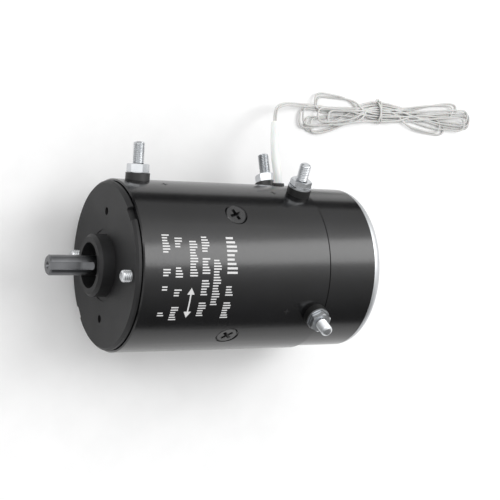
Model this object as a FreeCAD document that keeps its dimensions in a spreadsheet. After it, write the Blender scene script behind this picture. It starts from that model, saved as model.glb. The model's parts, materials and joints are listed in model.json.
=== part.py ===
import FreeCAD, Part

import math
import os
import re

import Sketcher

# A four-pole, series-wound, brushed direct-current motor lying on its side.
# X is the motor's axis, and the shaft points towards -X. The origin is the centre of the
# front mounting face. Z is up. An angle about X is counted from +Y towards +Z.

Vector = FreeCAD.Vector
Placement = FreeCAD.Placement
Rotation = FreeCAD.Rotation

# Driving dimensions, in millimetres, degrees and counts. Names ending in _at are places
# along X, and names ending in _radius are distances from the axis they belong to.
SIZES = {
    # body tube and its ends
    "frame_radius": 57.0,
    "tube_bore": 52.0,
    "tube_front_at": 4.0,
    "tube_rear_at": 139.6,
    "tube_chamfer": 0.8,
    "gasket_thickness": 1.0,
    "cover_radius": 55.7,
    "cover_inner_radius": 50.0,
    "cover_rear_at": 183.5,
    "cover_wall": 5.0,
    "cover_fillet": 7.0,
    # drive end shield
    "face_radius": 54.0,
    "shield_radius": 55.5,
    "shield_bevel": 1.5,
    "shield_flank_at": 3.2,
    "shield_step_radius": 54.3,
    "shield_register_at": 12.0,
    "shield_inner_at": 10.0,
    "shield_rim_radius": 47.0,
    "shield_hub_radius": 26.0,
    "spigot_radius": 20.6,
    "spigot_length": 10.0,
    "spigot_chamfer": 2.0,
    "spigot_bore": 15.0,
    "undercut_radius": 23.5,
    "undercut_depth": 0.5,
    "notch_width": 10.0,
    "notch_floor_radius": 52.3,
    "face_hole_radius": 2.6,
    "face_hole_circle": 35.7,
    "face_hole_angle": 9.0,
    # through bolts
    "bolt_radius": 4.0,
    "bolt_core_radius": 3.6,
    "bolt_entry_radius": 4.3,
    "bolt_entry_depth": 0.6,
    "bolt_circle": 44.5,
    "bolt_angle": 98.5,
    "bolt_stand_out": 5.8,
    "bolt_dome": 1.2,
    "bolt_seat_at": 178.5,
    "bolt_head_radius": 6.5,
    "bolt_head_height": 4.6,
    "bolt_boss_radius": 8.6,
    "bolt_boss_at": 169.0,
    "bolt_hole_radius": 4.3,
    "bolt_counterbore_radius": 7.6,
    # shaft
    "shaft_end_at": 38.0,
    "shaft_end_radius": 6.65,
    "shaft_end_chamfer": 1.0,
    "shaft_relief_radius": 6.4,
    "shaft_step_at": 3.0,
    "centre_drill_radius": 2.4,
    "centre_drill_depth": 4.0,
    "shaft_middle_radius": 11.0,
    "shaft_commutator_radius": 10.0,
    "shaft_rear_step_at": 167.6,
    "shaft_rear_at": 179.0,
    "key_width": 5.0,
    "key_floor": 3.65,
    "key_angle": 95.0,
    "key_straight_end_at": 17.0,
    "key_cutter_radius": 15.0,
    # bearings: 17 x 40 x 12 in front, 15 x 35 x 11 at the rear
    "front_bearing_at": 6.0,
    "front_bearing_width": 12.0,
    "front_bearing_bore": 8.5,
    "front_bearing_outer": 20.0,
    "front_inner_land": 12.0,
    "front_outer_land": 16.6,
    "front_ball_circle": 14.3,
    "front_ball_radius": 3.35,
    "rear_bearing_at": 168.0,
    "rear_bearing_width": 11.0,
    "rear_bearing_bore": 7.5,
    "rear_bearing_outer": 17.5,
    "rear_inner_land": 10.6,
    "rear_outer_land": 14.4,
    "rear_ball_circle": 12.5,
    "rear_ball_radius": 2.95,
    "race_clearance": 0.15,
    "cage_half_thickness": 0.9,
    "cage_half_width": 4.4,
    "rear_seat_end_at": 180.4,
    "rear_hub_at": 167.0,
    "rear_hub_radius": 22.0,
    # seal
    "seal_front_at": 0.2,
    "seal_rear_at": 5.2,
    "seal_body_radius": 10.8,
    "seal_clearance": 0.05,
    # magnet system
    "pole_angle": 53.5,
    "pole_centre_at": 74.0,
    "pole_half_length": 35.0,
    "pole_face_radius": 38.5,
    "pole_tip_radius": 42.6,
    "pole_core_half_width": 13.0,
    "pole_tip_half_width": 23.5,
    "coil_inner_radius": 43.0,
    "coil_outer_radius": 51.6,
    "coil_half_width": 22.0,
    "coil_half_length": 45.0,
    "coil_gap": 0.4,
    "coil_corner_radius": 7.0,
    "screw_head_radius": 7.4,
    "screw_seat_radius": 7.9,
    "screw_shank_radius": 4.0,
    "screw_head_at": 56.2,
    "screw_cone_height": 3.4,
    "screw_inner_at": 43.0,
    "recess_width": 1.7,
    "recess_length": 7.6,
    "recess_depth": 2.6,
    # armature
    "slot_count": 25,
    "armature_radius": 37.5,
    "slot_floor_radius": 27.5,
    "slot_roof_radius": 35.2,
    "slot_width": 4.0,
    "slot_mouth_width": 1.8,
    "bar_width": 3.2,
    "bar_floor_radius": 28.0,
    "bar_roof_radius": 34.8,
    "winding_front_at": 25.0,
    "winding_rear_at": 122.0,
    "winding_inner_radius": 20.0,
    "winding_outer_radius": 36.0,
    "winding_edge": 4.0,
    "commutator_front_at": 130.0,
    "commutator_riser_end_at": 133.5,
    "commutator_rear_at": 165.0,
    "commutator_radius": 22.0,
    "riser_radius": 25.0,
    "copper_inner_radius": 17.0,
    "mica_gap": 0.6,
    # brush gear
    "plate_front_at": 140.4,
    "plate_rear_at": 143.4,
    "plate_outer_radius": 51.9,
    "plate_inner_radius": 27.0,
    "brush_centre_at": 152.8,
    "brush_half_length": 8.0,
    "brush_half_width": 4.0,
    "brush_face_radius": 22.3,
    "brush_back_radius": 38.0,
    "holder_clearance": 0.1,
    "holder_wall": 1.3,
    "holder_foot_radius": 25.5,
    "holder_cap_radius": 46.8,
    "holder_top_radius": 48.0,
    "spring_coil_radius": 2.8,
    "spring_wire_radius": 0.4,
    "spring_pitch": 1.6,
    # terminals
    "stud_radius": 4.0,
    "stud_core_radius": 3.6,
    "stud_inner_end": 43.0,
    "stud_head_height": 4.0,
    "stud_chamfer": 1.0,
    "hex_corner_radius": 7.5,
    "bush_foot": 49.2,
    "bush_foot_radius": 6.4,
    "bush_neck_radius": 5.5,
    "bush_foot_top": 51.0,
    "bush_flange_radius": 8.1,
    "washer_radius": 8.0,
    "washer_thickness": 1.3,
    "nut_chamfer": 0.9,
    # thermal switch lead
    "lead_angle": 4.0,
    "lead_at": 129.4,
    "grommet_radius": 4.6,
    "grommet_neck_radius": 3.9,
    "grommet_top": 58.6,
    "sleeve_radius": 3.0,
    "sleeve_bore": 2.4,
    "wire_radius": 0.75,
    "wire_spacing": 1.7,
    "floor_at": 57.0,
    "hank_height": 6.0,
    "tie_radius": 0.9,
}

# Each terminal: its name, place along X, angle, stud tip, bush top, nut height, washer or not.
TERMINALS = [
    ("front", 21.3, 6.2, 82.0, 61.4, 6.0, False),
    ("rear_1", 130.3, -13.4, 82.6, 61.2, 6.0, False),
    ("rear_2", 132.1, 28.1, 79.0, 61.6, 4.2, True),
    ("rear_3", 133.3, 124.0, 77.0, 61.6, 4.2, True),
]

# Centre line of the white sleeve, from the grommet to its free end.
SLEEVE_ROUTE = [
    (129.4, 50.5, 3.6),
    (129.0, 63.5, 4.4),
    (128.6, 76.3, 1.6),
    (131.6, 86.4, -4.6),
    (136.2, 95.0, -12.6),
    (140.9, 103.0, -20.6),
]

# The two wires come out of the sleeve side by side, turn along X and come down to the hank.
WIRE_ROUTE = [
    (129.2, 57.6, 4.0),
    (128.7, 66.5, 3.9),
    (128.6, 76.3, 1.6),
    (131.6, 86.4, -4.6),
    (136.2, 95.0, -12.6),
    (140.9, 103.0, -20.6),
    (145.4, 111.2, -28.2),
    (150.8, 117.6, -34.6),
    (160.0, 121.2, -40.4),
    (171.6, 122.4, -46.2),
    (183.0, 123.0, -51.4),
    (194.0, 123.6, -54.6),
]

# Outline of the tied hank on the table, as the corners of a smooth closed curve.
HANK_OUTLINE = [
    (180.0, 112.0),
    (183.0, 124.0),
    (193.5, 134.0),
    (222.0, 131.5),
    (252.0, 130.5),
    (292.0, 133.0),
    (330.0, 135.5),
    (346.0, 127.5),
    (347.5, 117.0),
    (333.0, 107.5),
    (306.0, 108.5),
    (272.0, 114.0),
    (252.0, 114.6),
    (234.0, 107.5),
    (212.0, 102.5),
    (190.0, 103.8),
]
TIE_AT = 253.5
TIE_SPAN = (112.4, 132.8)

document = FreeCAD.newDocument("motor")
sheet = document.addObject("Spreadsheet::Sheet", "Sizes")
for row, (name, value) in enumerate(SIZES.items(), start=1):
    sheet.set("A%d" % row, name)
    sheet.set("B%d" % row, str(value))
    sheet.setAlias("B%d" % row, name)
document.recompute()

START = 1
END = 2
H_AXIS = -1
V_AXIS = -2
finished = []


def cell(formula):
    """Turn the sheet's names in a formula into references to its cells."""
    return re.sub(r"[a-z]\w*", lambda name: "Sizes." + name.group(), str(formula))


def bind(item, **formulas):
    """Bind an object's properties to the sheet, and return the object."""
    for prop, formula in formulas.items():
        item.setExpression(prop, cell(formula))
    return item


def keep(item, label):
    """Name an object as one finished piece of the motor."""
    item.Label = label
    finished.append(item)
    return item


def around(angle, radius):
    """Y and Z of a point at an angle and a radius about the motor's axis."""
    return radius * math.cos(math.radians(angle)), radius * math.sin(math.radians(angle))


def frame_of(along_x, origin, z_axis, x_axis):
    """Placement with the given local Z and X directions, at a place along X."""
    y_axis = z_axis.cross(x_axis)
    rotation = Rotation(x_axis, y_axis, z_axis, "ZXY")
    return Placement(Vector(along_x, origin[0], origin[1]), rotation)


def axial(along_x, angle=0.0, radius=0.0):
    """Local Z along the motor, local X outwards at the angle."""
    outward = Vector(0, *around(angle, 1.0))
    return frame_of(along_x, around(angle, radius), Vector(1, 0, 0), outward)


def radial(along_x, angle, radius=0.0):
    """Local Z outwards at the angle, local X along the motor."""
    outward = Vector(0, *around(angle, 1.0))
    return frame_of(along_x, around(angle, radius), outward, Vector(1, 0, 0))


def radial_turning(along_x, angle):
    """Local X outwards at the angle, for a piece turned about its own X axis."""
    outward = Vector(0, *around(angle, 1.0))
    z_axis = outward.cross(Vector(1, 0, 0))
    return frame_of(along_x, (0.0, 0.0), z_axis, outward)


def origin_plane(body, role):
    """One of the body's own origin planes, found by its role."""
    return [item for item in body.Origin.OriginFeatures if item.Role == role][0]


def polygon_sketch(body, name, plane, corners):
    """A closed polygon sketch whose corners are formulas of the sheet."""
    sketch = body.newObject("Sketcher::SketchObject", name)
    sketch.AttachmentSupport = (origin_plane(body, plane), [""])
    sketch.MapMode = "FlatFace"
    count = len(corners)
    ring = []
    for i in range(count):
        turn = -2 * math.pi * i / count
        ring.append(Vector(20 + 10 * math.cos(turn), 20 + 10 * math.sin(turn), 0))
    for i in range(count):
        sketch.addGeometry(Part.LineSegment(ring[i], ring[(i + 1) % count]))
    for i in range(count):
        sketch.addConstraint(Sketcher.Constraint("Coincident", i, END, (i + 1) % count, START))
    for i, corner in enumerate(corners):
        guess = (ring[i].x, ring[i].y)
        for kind, formula, number, axis in zip(
            ("DistanceX", "DistanceY"), corner, guess, (V_AXIS, H_AXIS)
        ):
            if formula == 0:
                sketch.addConstraint(Sketcher.Constraint("PointOnObject", i, START, axis))
                continue
            index = sketch.addConstraint(Sketcher.Constraint(kind, -1, 1, i, START, number))
            sketch.setExpression("Constraints[%d]" % index, cell(formula))
    return sketch


def turned(name, outline, place=None):
    """A piece turned about its own X axis from (along, radius) formulas."""
    body = document.addObject("PartDesign::Body", name)
    sketch = polygon_sketch(body, name + "_profile", "XY_Plane", outline)
    turning = body.newObject("PartDesign::Revolution", name + "_turning")
    turning.Profile = sketch
    turning.ReferenceAxis = (sketch, ["H_Axis"])
    turning.Angle = 360
    body.Tip = turning
    if place is not None:
        body.Placement = place
    return body


def cylinder(name, place, radius, height):
    """A cylinder whose local Z is given by the placement."""
    item = bind(document.addObject("Part::Cylinder", name), Radius=radius, Height=height)
    item.Placement = place
    return item


def block(name, place, length, width, height):
    """A block centred on its placement in local X and Y, standing on it in local Z."""
    item = document.addObject("Part::Box", name)
    bind(item, Length=length, Width=width, Height=height)
    document.recompute()
    half = Vector(-item.Length.Value / 2, -item.Width.Value / 2, 0)
    item.Placement = place.multiply(Placement(half, Rotation()))
    return item


def fused(name, pieces):
    """Pieces joined into one solid."""
    item = document.addObject("Part::MultiFuse", name)
    item.Shapes = pieces
    item.Refine = True
    return item


def cut(name, base, tools):
    """A base with one or more tools taken away."""
    tool = tools[0] if len(tools) == 1 else fused(name + "_tools", tools)
    item = document.addObject("Part::Cut", name)
    item.Base = base
    item.Tool = tool
    return item


def common(name, pieces):
    """What several pieces have in common."""
    item = document.addObject("Part::MultiCommon", name)
    item.Shapes = pieces
    return item


def ring(name, along_x, width, inner, outer):
    """A plain ring about the motor's axis."""
    place = axial(along_x)
    outside = cylinder(name + "_outside", place, outer, width)
    inside = cylinder(name + "_inside", place, inner, width)
    return cut(name, outside, [inside])


def body_tube():
    """Rolled yoke with holes for pole screws, terminals and the lead."""
    blank = turned("tube_blank", [
        ("tube_front_at", "tube_bore"),
        ("tube_front_at", "frame_radius - tube_chamfer"),
        ("tube_front_at + tube_chamfer", "frame_radius"),
        ("tube_rear_at - 0.3", "frame_radius"),
        ("tube_rear_at", "frame_radius - 0.3"),
        ("tube_rear_at", "tube_bore"),
    ])
    tools = []
    for number in range(4):
        angle = SIZES["pole_angle"] + 90 * number
        tools.append(screw_form("tube_screw_%d" % number, angle, "screw_seat_radius", 1.4))
    for name, along_x, angle, *_ in TERMINALS:
        place = radial(along_x, angle, SIZES["tube_bore"] - 3)
        tools.append(cylinder("tube_hole_" + name, place, "bush_neck_radius", 10))
    place = radial(SIZES["lead_at"], SIZES["lead_angle"], SIZES["tube_bore"] - 3)
    tools.append(cylinder("tube_hole_lead", place, "grommet_neck_radius", 10))
    return keep(cut("tube_cut", blank, tools), "body_tube")


def screw_form(name, angle, head_radius, rise):
    """The outline of a countersunk screw, rising a little past its head's face."""
    return turned(name, [
        ("screw_inner_at", 0),
        ("screw_inner_at", "screw_shank_radius"),
        ("screw_head_at - screw_cone_height", "screw_shank_radius"),
        ("screw_head_at", head_radius),
        ("screw_head_at + %s" % rise, head_radius),
        ("screw_head_at + %s" % rise, 0),
    ], radial_turning(SIZES["pole_centre_at"], angle))


def bolt_tools(name, along_x, radius, length):
    """Cylinders on the axes of the two through bolts."""
    tools = []
    for side in (0, 180):
        place = axial(along_x, SIZES["bolt_angle"] + side, SIZES["bolt_circle"])
        tools.append(cylinder("%s_%d" % (name, side), place, radius, length))
    return tools


def drive_end_shield():
    """Cast end with a turned spigot that locates the motor, and the front bearing's seat."""
    blank = turned("shield_blank", [
        ("-spigot_length", "spigot_bore"),
        ("-spigot_length", "spigot_radius - spigot_chamfer"),
        ("-spigot_length + spigot_chamfer", "spigot_radius"),
        ("undercut_depth", "spigot_radius"),
        ("undercut_depth", "undercut_radius"),
        (0, "undercut_radius"),
        (0, "face_radius"),
        ("shield_bevel", "shield_radius"),
        ("shield_flank_at", "shield_radius"),
        ("shield_flank_at", "shield_step_radius"),
        ("tube_front_at", "shield_step_radius"),
        ("tube_front_at", "tube_bore"),
        ("shield_register_at", "tube_bore"),
        ("shield_register_at", "shield_rim_radius"),
        ("shield_inner_at", "shield_rim_radius"),
        ("shield_inner_at", "shield_hub_radius"),
        ("front_bearing_at + front_bearing_width + 0.5", "shield_hub_radius"),
        ("front_bearing_at + front_bearing_width + 0.5", "front_bearing_outer"),
        ("front_bearing_at", "front_bearing_outer"),
        ("front_bearing_at", "spigot_bore"),
    ])
    tools = bolt_tools("shield_bolt", -2, "bolt_core_radius", 16)
    tools += bolt_tools("shield_bolt_entry", -1, "bolt_entry_radius", "1 + bolt_entry_depth")
    for side in (0, 180):
        hole_place = axial(-2, SIZES["face_hole_angle"] + side, SIZES["face_hole_circle"])
        tools.append(cylinder("shield_hole_%d" % side, hole_place, "face_hole_radius", 16))
        angle = SIZES["pole_angle"] + side
        notch_place = radial(SIZES["tube_front_at"] / 2 - 1, angle, SIZES["notch_floor_radius"])
        tools.append(block("shield_notch_%d" % side, notch_place,
                           "tube_front_at + 2", "notch_width", 6))
    return keep(cut("shield_cut", blank, tools), "drive_end_shield")


def rear_cover():
    """Cast cup over the brush gear, with the rear bearing's seat and two bolt bosses."""
    blank = turned("cover_blank", [
        ("tube_rear_at + gasket_thickness", "tube_bore"),
        ("tube_rear_at + gasket_thickness", "cover_radius - 0.3"),
        ("tube_rear_at + gasket_thickness + 0.3", "cover_radius"),
        ("cover_rear_at", "cover_radius"),
        ("cover_rear_at", 0),
        ("rear_seat_end_at", 0),
        ("rear_seat_end_at", "rear_bearing_outer"),
        ("rear_hub_at", "rear_bearing_outer"),
        ("rear_hub_at", "rear_hub_radius"),
        ("cover_rear_at - cover_wall", "rear_hub_radius"),
        ("cover_rear_at - cover_wall", "cover_inner_radius"),
        ("plate_rear_at", "cover_inner_radius"),
        ("plate_rear_at", "tube_bore"),
    ])
    document.recompute()
    rim = 0
    for index, edge in enumerate(blank.Shape.Edges, start=1):
        box = edge.BoundBox
        if abs(box.XMin - SIZES["cover_rear_at"]) < 0.01 and box.YLength > SIZES["cover_radius"]:
            rim = index
    turning = blank.Tip
    rounding = blank.newObject("PartDesign::Fillet", "cover_rounding")
    rounding.Base = (turning, ["Edge%d" % rim])
    bind(rounding, Radius="cover_fillet")
    blank.Tip = rounding
    inner = cylinder("cover_limit", axial(150), "cover_inner_radius + 0.5", 34)
    bosses = []
    for number, boss in enumerate(bolt_tools("cover_boss", SIZES["bolt_boss_at"],
                                             "bolt_boss_radius", 10)):
        bosses.append(common("cover_boss_trim_%d" % number, [boss, inner]))
    whole = fused("cover_fused", [blank] + bosses)
    tools = bolt_tools("cover_hole", SIZES["bolt_boss_at"] - 2, "bolt_hole_radius", 20)
    tools += bolt_tools("cover_counterbore", SIZES["bolt_seat_at"], "bolt_counterbore_radius", 8)
    return keep(cut("cover_cut", whole, tools), "rear_cover")


def through_bolts():
    """Two long bolts from the cover into the shield, with domed ends that stand out of it."""
    bolts = []
    for side in (0, 180):
        angle = SIZES["bolt_angle"] + side
        shank = turned("bolt_shank_%d" % side, [
            ("-bolt_stand_out", 0),
            ("-bolt_stand_out", "bolt_radius - 1.7"),
            ("-bolt_stand_out + 0.45", "bolt_radius - 0.7"),
            ("-bolt_stand_out + bolt_dome", "bolt_radius"),
            (0, "bolt_radius"),
            (0, "bolt_core_radius"),
            ("bolt_seat_at", "bolt_core_radius"),
            ("bolt_seat_at", 0),
        ], Placement(Vector(0, *around(angle, SIZES["bolt_circle"])), Rotation()))
        head = document.addObject("Part::Prism", "bolt_head_%d" % side)
        bind(head, Circumradius="bolt_head_radius", Height="bolt_head_height")
        head.Placement = axial(SIZES["bolt_seat_at"], angle, SIZES["bolt_circle"])
        bolts.append(fused("bolt_%d" % side, [shank, head]))
    group = document.addObject("Part::Compound", "bolt_group")
    group.Links = bolts
    return keep(group, "tie_bolts")


def shaft():
    """Stepped shaft with an open keyway milled by a disc cutter."""
    blank = turned("shaft_blank", [
        ("-shaft_end_at", 0),
        ("-shaft_end_at", "shaft_end_radius - shaft_end_chamfer"),
        ("-shaft_end_at + shaft_end_chamfer", "shaft_end_radius"),
        ("-key_straight_end_at", "shaft_end_radius"),
        ("-key_straight_end_at", "shaft_relief_radius"),
        ("-shaft_step_at", "shaft_relief_radius"),
        ("-shaft_step_at", "front_bearing_bore"),
        ("front_bearing_at + front_bearing_width", "front_bearing_bore"),
        ("front_bearing_at + front_bearing_width", "shaft_middle_radius"),
        ("commutator_front_at - 1", "shaft_middle_radius"),
        ("commutator_front_at - 1", "shaft_commutator_radius"),
        ("shaft_rear_step_at", "shaft_commutator_radius"),
        ("shaft_rear_step_at", "rear_bearing_bore"),
        ("shaft_rear_at", "rear_bearing_bore"),
        ("shaft_rear_at", 0),
    ])
    drill = document.addObject("Part::Cone", "centre_drill")
    bind(drill, Radius1="centre_drill_radius", Radius2=0, Height="centre_drill_depth")
    drill.Placement = axial(-SIZES["shaft_end_at"])
    straight = SIZES["shaft_end_at"] + 2 - SIZES["key_straight_end_at"]
    middle = -SIZES["key_straight_end_at"] - straight / 2
    slot = block("key_slot", radial(middle, SIZES["key_angle"], SIZES["key_floor"]),
                 straight, "key_width", 5)
    centre = SIZES["key_floor"] + SIZES["key_cutter_radius"]
    outward = Vector(0, *around(SIZES["key_angle"], 1.0))
    tangent = outward.cross(Vector(1, 0, 0))
    start = Vector(0, *around(SIZES["key_angle"], centre)) - tangent * (SIZES["key_width"] / 2)
    place = frame_of(-SIZES["key_straight_end_at"], (start.y, start.z), tangent, Vector(1, 0, 0))
    cutter = cylinder("key_cutter", place, "key_cutter_radius", "key_width")
    return keep(cut("shaft_cut", blank, [drill, slot, cutter]), "shaft")


def shaft_seal():
    """Rubber lip seal at the bottom of the spigot's bore."""
    return keep(turned("seal_ring", [
        ("seal_front_at", "spigot_bore"),
        ("seal_front_at", "seal_body_radius"),
        ("seal_front_at + 1", "front_bearing_bore + seal_clearance"),
        ("seal_front_at + 2", "front_bearing_bore + seal_clearance"),
        ("seal_front_at + 3", "seal_body_radius"),
        ("seal_rear_at", "seal_body_radius + 1"),
        ("seal_rear_at", "spigot_bore"),
    ]), "shaft_seal")


def bearing(end, ball_count):
    """One deep-groove bearing: two rings with ball tracks, a cage and its balls."""
    start = SIZES[end + "_bearing_at"]
    width = end + "_bearing_width"
    middle = start + SIZES[width] / 2
    circle = SIZES[end + "_ball_circle"]
    for side, inner, outer in (
        ("inner", end + "_bearing_bore", end + "_inner_land"),
        ("outer", end + "_outer_land", end + "_bearing_outer"),
    ):
        track = document.addObject("Part::Torus", "%s_%s_track" % (end, side))
        bind(track, Radius1=end + "_ball_circle", Radius2=end + "_ball_radius + race_clearance")
        track.Placement = axial(middle)
        name = "%s_%s_ring" % (end, side)
        blank = ring(name + "_blank", start, width, inner, outer)
        keep(cut(name, blank, [track]), "%s_bearing_%s" % (end, side))
    balls = []
    pockets = []
    for number in range(ball_count):
        place = axial(middle, 360.0 / ball_count * number, circle)
        ball = document.addObject("Part::Sphere", "%s_ball_%d" % (end, number))
        bind(ball, Radius=end + "_ball_radius")
        ball.Placement = place
        balls.append(ball)
        low = radial(middle, 360.0 / ball_count * number, circle - 4)
        pockets.append(cylinder("%s_pocket_%d" % (end, number), low,
                                end + "_ball_radius + race_clearance / 2", 8))
    group = document.addObject("Part::Compound", end + "_ball_group")
    group.Links = balls
    keep(group, end + "_bearing_balls")
    cage = ring(end + "_cage_blank", middle - SIZES["cage_half_width"], "cage_half_width * 2",
                end + "_ball_circle - cage_half_thickness",
                end + "_ball_circle + cage_half_thickness")
    keep(cut(end + "_cage_cut", cage, pockets), end + "_bearing_cage")


def preload_washer():
    """Dished spring washer that loads the rear bearing."""
    return keep(turned("washer_dish", [
        ("rear_bearing_at + rear_bearing_width", 17.3),
        ("rear_bearing_at + rear_bearing_width + 0.6", 17.3),
        ("rear_seat_end_at", 13.6),
        ("rear_seat_end_at - 0.6", 13.6),
    ]), "preload_washer")


def shell(name, start, length, inner, outer):
    """A thick ring used as the curved envelope of poles and coils."""
    return ring(name, start, length, inner, outer)


def pole_and_coil(number):
    """One pole shoe bolted to the tube, and the racetrack field coil around its core."""
    angle = SIZES["pole_angle"] + 90 * (number - 1)
    centre = SIZES["pole_centre_at"]
    front = centre - SIZES["pole_half_length"]
    stem = "pole_%d" % number
    place = radial(centre, angle, SIZES["pole_face_radius"] - 8)
    core = common(stem + "_core", [
        block(stem + "_core_block", place, "pole_half_length * 2", "pole_core_half_width * 2", 30),
        shell(stem + "_core_shell", front, "pole_half_length * 2", "pole_face_radius",
              "tube_bore"),
    ])
    tip = common(stem + "_tip", [
        block(stem + "_tip_block", place, "pole_half_length * 2", "pole_tip_half_width * 2", 30),
        shell(stem + "_tip_shell", front, "pole_half_length * 2", "pole_face_radius",
              "pole_tip_radius"),
    ])
    shoe = fused(stem + "_shoe", [core, tip])
    thread = screw_form(stem + "_thread", angle, "screw_head_radius", 0.1)
    keep(cut(stem + "_cut", shoe, [thread]), "pole_shoe_%d" % number)

    stem = "coil_%d" % number
    outside = block(stem + "_outside", place, "coil_half_length * 2", "coil_half_width * 2", 30)
    document.recompute()
    upright = []
    for index, edge in enumerate(outside.Shape.Edges, start=1):
        if abs(edge.Length - outside.Height.Value) < 0.001:
            upright.append((index, SIZES["coil_corner_radius"], SIZES["coil_corner_radius"]))
    rounded = document.addObject("Part::Fillet", stem + "_rounded")
    rounded.Base = outside
    rounded.Edges = upright
    window = block(stem + "_window", place, "(pole_half_length + coil_gap) * 2",
                   "(pole_core_half_width + coil_gap) * 2", 30)
    envelope = shell(stem + "_shell", centre - SIZES["coil_half_length"] - 1,
                     "coil_half_length * 2 + 2", "coil_inner_radius", "coil_outer_radius")
    whole = common(stem + "_whole", [rounded, envelope])
    keep(cut(stem + "_cut", whole, [window]), "field_coil_%d" % number)


def pole_screws():
    """Four countersunk cross-recess screws that hold the pole shoes."""
    screws = []
    for number in range(4):
        angle = SIZES["pole_angle"] + 90 * number
        form = screw_form("screw_form_%d" % number, angle, "screw_head_radius", 0.1)
        floor = SIZES["screw_head_at"] - SIZES["recess_depth"]
        place = radial(SIZES["pole_centre_at"], angle, floor)
        place = place.multiply(Placement(Vector(), Rotation(Vector(0, 0, 1), 20 + 25 * number)))
        cross = [
            block("recess_long_%d" % number, place, "recess_length", "recess_width", 6),
            block("recess_wide_%d" % number, place, "recess_width", "recess_length", 6),
        ]
        screws.append(cut("screw_%d" % number, form, cross))
    group = document.addObject("Part::Compound", "screw_group")
    group.Links = screws
    return keep(group, "pole_screws")


def armature_core():
    """Stack of laminations with one slot for each armature bar."""
    body = document.addObject("PartDesign::Body", "armature_stack")
    disc = body.newObject("Sketcher::SketchObject", "lamination_outline")
    disc.AttachmentSupport = (origin_plane(body, "YZ_Plane"), [""])
    disc.MapMode = "FlatFace"
    centre = Vector(0, 0, 0)
    normal = Vector(0, 0, 1)
    for index, size in enumerate(("armature_radius", "shaft_middle_radius")):
        disc.addGeometry(Part.Circle(centre, normal, SIZES[size]))
        disc.addConstraint(Sketcher.Constraint("Coincident", index, 3, -1, 1))
        radius = disc.addConstraint(Sketcher.Constraint("Radius", index, SIZES[size]))
        disc.setExpression("Constraints[%d]" % radius, cell(size))
    pad = body.newObject("PartDesign::Pad", "lamination_stack")
    pad.Profile = disc
    bind(pad, Length="pole_half_length * 2")
    slot = polygon_sketch(body, "slot_outline", "YZ_Plane", [
        ("slot_floor_radius", "slot_width / 2"),
        ("slot_roof_radius", "slot_width / 2"),
        ("slot_roof_radius", "slot_mouth_width / 2"),
        ("armature_radius + 2", "slot_mouth_width / 2"),
        ("armature_radius + 2", "-slot_mouth_width / 2"),
        ("slot_roof_radius", "-slot_mouth_width / 2"),
        ("slot_roof_radius", "-slot_width / 2"),
        ("slot_floor_radius", "-slot_width / 2"),
    ])
    document.recompute()
    pocket = body.newObject("PartDesign::Pocket", "slot_pocket")
    pocket.Profile = slot
    pocket.Type = "ThroughAll"
    pocket.Reversed = True
    pattern = body.newObject("PartDesign::PolarPattern", "slot_pattern")
    pattern.Originals = [pocket]
    pattern.Axis = (disc, ["N_Axis"])
    pattern.Angle = 360
    bind(pattern, Occurrences="slot_count")
    body.Tip = pattern
    body.Placement = Placement(Vector(SIZES["pole_centre_at"] - SIZES["pole_half_length"], 0, 0),
                               Rotation())
    return keep(body, "armature_core")


def armature_winding():
    """Copper bars in the slots, joined by the end turns in front of and behind the core."""
    front = SIZES["pole_centre_at"] - SIZES["pole_half_length"]
    rear = SIZES["pole_centre_at"] + SIZES["pole_half_length"]
    heads = []
    for name, low, high in (
        ("front_turns", SIZES["winding_front_at"], front - 1),
        ("rear_turns", rear + 1, SIZES["winding_rear_at"]),
    ):
        heads.append(turned(name, [
            (low, "winding_inner_radius + winding_edge"),
            (low, "winding_outer_radius - winding_edge"),
            (low + SIZES["winding_edge"], "winding_outer_radius"),
            (high - SIZES["winding_edge"], "winding_outer_radius"),
            (high, "winding_outer_radius - 1"),
            (high, "winding_inner_radius"),
            (low + SIZES["winding_edge"], "winding_inner_radius"),
        ]))
    bars = []
    for number in range(SIZES["slot_count"]):
        angle = 360.0 / SIZES["slot_count"] * number
        place = radial(SIZES["pole_centre_at"], angle, SIZES["bar_floor_radius"])
        bars.append(block("bar_%d" % number, place, "pole_half_length * 2 + 6", "bar_width",
                          "bar_roof_radius - bar_floor_radius"))
    return keep(fused("winding_fused", heads + bars), "armature_winding")


def commutator():
    """Copper bars with risers, apart by a mica gap, on a moulded hub."""
    copper = turned("commutator_copper", [
        ("commutator_front_at", "copper_inner_radius"),
        ("commutator_front_at", "riser_radius"),
        ("commutator_riser_end_at", "riser_radius"),
        ("commutator_riser_end_at", "commutator_radius"),
        ("commutator_rear_at", "commutator_radius"),
        ("commutator_rear_at", "copper_inner_radius"),
    ])
    gaps = []
    middle = (SIZES["commutator_front_at"] + SIZES["commutator_rear_at"]) / 2
    for number in range(SIZES["slot_count"]):
        angle = 360.0 / SIZES["slot_count"] * (number + 0.5)
        gaps.append(block("mica_%d" % number, radial(middle, angle, 14), 60, "mica_gap", 14))
    keep(cut("commutator_cut", copper, gaps), "commutator_bars")
    keep(ring("commutator_moulding", SIZES["commutator_front_at"],
              "commutator_rear_at - commutator_front_at", "shaft_commutator_radius",
              "copper_inner_radius"), "commutator_hub")


def brush_plate():
    """Insulating ring that carries the brush holders."""
    blank = ring("plate_blank", SIZES["plate_front_at"], "plate_rear_at - plate_front_at",
                 "plate_inner_radius", "plate_outer_radius")
    tools = bolt_tools("plate_hole", SIZES["plate_front_at"] - 1, "bolt_hole_radius + 0.1", 6)
    return keep(cut("plate_cut", blank, tools), "brush_plate")


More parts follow.
